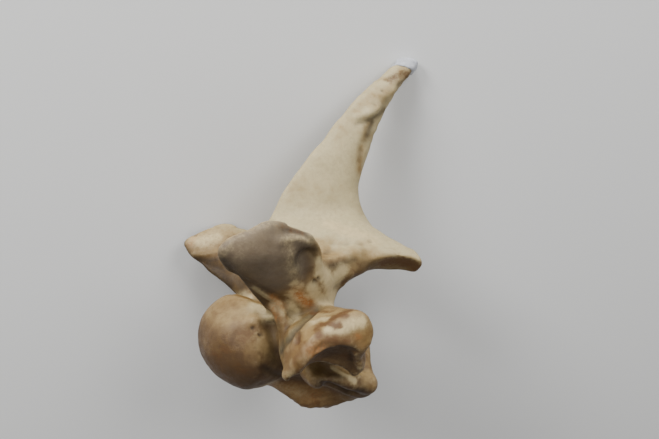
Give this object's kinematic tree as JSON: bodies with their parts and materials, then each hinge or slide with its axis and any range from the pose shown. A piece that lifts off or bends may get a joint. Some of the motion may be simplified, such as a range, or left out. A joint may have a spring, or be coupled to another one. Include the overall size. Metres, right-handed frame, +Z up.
{
  "type": "first thoracic vertebra of a horse, dry bone",
  "caption": "Dry first thoracic vertebra of a horse, lying on its right side with its back-swept spine level and its canal open end to end.",
  "frame": {"origin": "centre of the bounding box, on the floor under it", "axes": "+X towards the tail end of the vertebra, +Y towards the animal's back along the spinous process, +Z up, away from the right side that it lies on"},
  "size_m": [0.1008, 0.1468, 0.1011],
  "materials": {
    "bone_spine": "matt dry bone, pale cream",
    "bone_body": "matt dry bone, tan with brown stains",
    "bone_joint": "smooth dry joint bone, grey-brown",
    "tip_white": "matt chalky white"
  },
  "bodies": {
    "root": {"spinous_tip_cap": "tip_white", "spinous_process": "bone_spine", "transverse_process_right": "bone_body", "transverse_process_left": "bone_body", "cranial_articular_process_right": "bone_joint", "cranial_articular_process_left": "bone_joint", "caudal_articular_process_right": "bone_joint", "caudal_articular_process_left": "bone_joint", "centrum": "bone_body", "neural_arch": "bone_body"}
  },
  "joints": []
}
